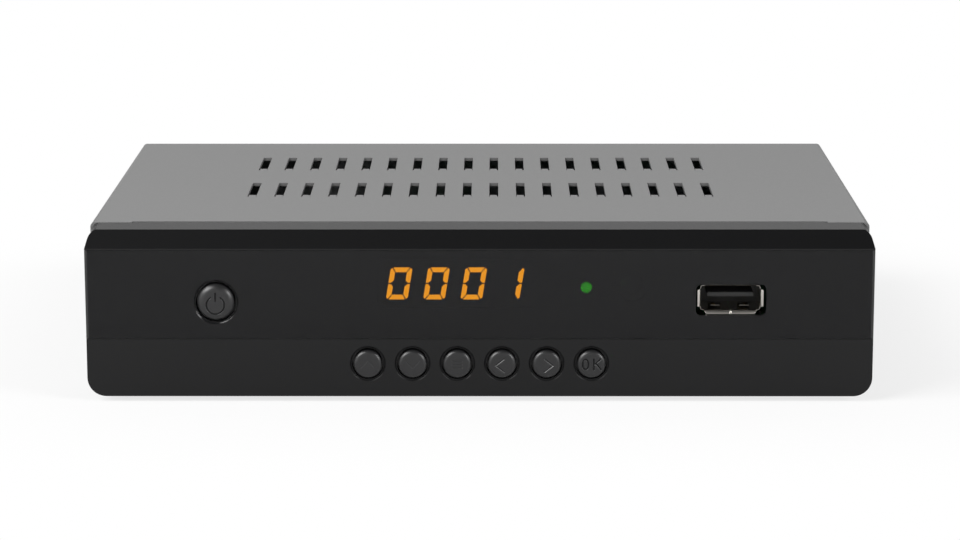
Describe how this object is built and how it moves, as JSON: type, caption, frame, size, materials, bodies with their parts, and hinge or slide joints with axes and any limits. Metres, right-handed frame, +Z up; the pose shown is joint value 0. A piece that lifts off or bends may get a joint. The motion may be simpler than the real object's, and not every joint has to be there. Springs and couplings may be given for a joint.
{
  "type": "satellite television receiver",
  "caption": "Slim steel-cased satellite receiver: black moulded front with a smoked strip, digits, round push buttons, a data socket, a vented grey cover and rear sockets.",
  "frame": {"origin": "under the middle of the receiver, on the table its feet stand on", "axes": "+X to the right seen from the front, +Y from the front face to the rear sockets, +Z up"},
  "size_m": [0.1692, 0.1234, 0.0373],
  "materials": {
    "panel_plastic": "satin moulded black",
    "smoked_lens": "polished smoke tint",
    "cover_paint": "satin grey paint",
    "zinc_steel": "zinc coated sheet",
    "foot_rubber": "matt",
    "black_screw": "black oxide",
    "zinc_screw": "zinc plated",
    "standoff_brass": "turned",
    "circuit_board": "solder mask",
    "switch_plastic": "moulded",
    "plunger_plastic": "moulded",
    "display_face": "printed black",
    "amber_segment": "lit segment",
    "spacer_plastic": "moulded",
    "clear_pipe": "polished",
    "green_light": "lit chip",
    "eye_epoxy": "moulded epoxy",
    "nickel_plate": "bright nickel",
    "socket_plastic": "moulded",
    "gold_contact": "gold flash",
    "header_plastic": "moulded",
    "ribbon_grey": "extruded",
    "chip_epoxy": "moulded",
    "heatsink_aluminium": "extruded",
    "capacitor_sleeve": "shrunk sleeve",
    "ferrite": "sintered",
    "tinned_steel": "tinned",
    "white_insulator": "moulded",
    "button_plastic": "satin moulded",
    "yellow_insert": "moulded",
    "white_insert": "moulded",
    "red_insert": "moulded",
    "orange_insert": "moulded"
  },
  "bodies": {
    "receiver": {"front_panel": "panel_plastic", "front_lens": "smoked_lens", "top_cover": "cover_paint", "bottom_chassis": "zinc_steel", "rubber_feet": "foot_rubber", "cover_screws": "black_screw", "panel_screws": "zinc_screw", "front_board_screws": "zinc_screw", "main_board_screws": "zinc_screw", "board_standoffs": "standoff_brass", "front_board": "circuit_board", "switch_housings": "switch_plastic", "display_module": "display_face", "display_segments": "amber_segment", "display_spacer": "spacer_plastic", "light_pipe": "clear_pipe", "status_led": "green_light", "remote_eye": "eye_epoxy", "usb_shell": "nickel_plate", "usb_tongue": "socket_plastic", "usb_contacts": "gold_contact", "ribbon_headers": "header_plastic", "ribbon_cable": "ribbon_grey", "main_board": "circuit_board", "main_chip": "chip_epoxy", "heatsink": "heatsink_aluminium", "memory_chips": "chip_epoxy", "capacitors": "capacitor_sleeve", "inductors": "ferrite", "tuner_frame": "tinned_steel", "tuner_lid": "tinned_steel", "aerial_barrels": "nickel_plate", "aerial_insulators": "white_insulator", "aerial_contacts": "gold_contact", "aerial_washers": "zinc_steel", "aerial_nuts": "nickel_plate", "hdmi_shell": "nickel_plate", "hdmi_tongue": "socket_plastic", "phono_housing": "socket_plastic", "phono_sleeves": "nickel_plate", "supply_socket": "socket_plastic", "supply_pin": "nickel_plate", "video_insert": "yellow_insert", "left_audio_insert": "white_insert", "right_audio_insert": "red_insert", "digital_audio_insert": "orange_insert"},
    "power_key": {"power_button": "button_plastic", "power_plunger": "plunger_plastic"},
    "up_key": {"up_button": "button_plastic", "up_plunger": "plunger_plastic"},
    "down_key": {"down_button": "button_plastic", "down_plunger": "plunger_plastic"},
    "menu_key": {"menu_button": "button_plastic", "menu_plunger": "plunger_plastic"},
    "left_key": {"left_button": "button_plastic", "left_plunger": "plunger_plastic"},
    "right_key": {"right_button": "button_plastic", "right_plunger": "plunger_plastic"},
    "ok_key": {"ok_button": "button_plastic", "ok_plunger": "plunger_plastic"}
  },
  "joints": [
    {"name": "power_press", "type": "slide", "parent": "receiver", "child": "power_key", "axis": [0, 1, 0], "range_m": [0, 0.0003], "stiffness_N_per_m": 2000, "springref_m": -0.0004},
    {"name": "up_press", "type": "slide", "parent": "receiver", "child": "up_key", "axis": [0, 1, 0], "range_m": [0, 0.0003], "stiffness_N_per_m": 2000, "springref_m": -0.0004},
    {"name": "down_press", "type": "slide", "parent": "receiver", "child": "down_key", "axis": [0, 1, 0], "range_m": [0, 0.0003], "stiffness_N_per_m": 2000, "springref_m": -0.0004},
    {"name": "menu_press", "type": "slide", "parent": "receiver", "child": "menu_key", "axis": [0, 1, 0], "range_m": [0, 0.0003], "stiffness_N_per_m": 2000, "springref_m": -0.0004},
    {"name": "left_press", "type": "slide", "parent": "receiver", "child": "left_key", "axis": [0, 1, 0], "range_m": [0, 0.0003], "stiffness_N_per_m": 2000, "springref_m": -0.0004},
    {"name": "right_press", "type": "slide", "parent": "receiver", "child": "right_key", "axis": [0, 1, 0], "range_m": [0, 0.0003], "stiffness_N_per_m": 2000, "springref_m": -0.0004},
    {"name": "ok_press", "type": "slide", "parent": "receiver", "child": "ok_key", "axis": [0, 1, 0], "range_m": [0, 0.0003], "stiffness_N_per_m": 2000, "springref_m": -0.0004}
  ]
}
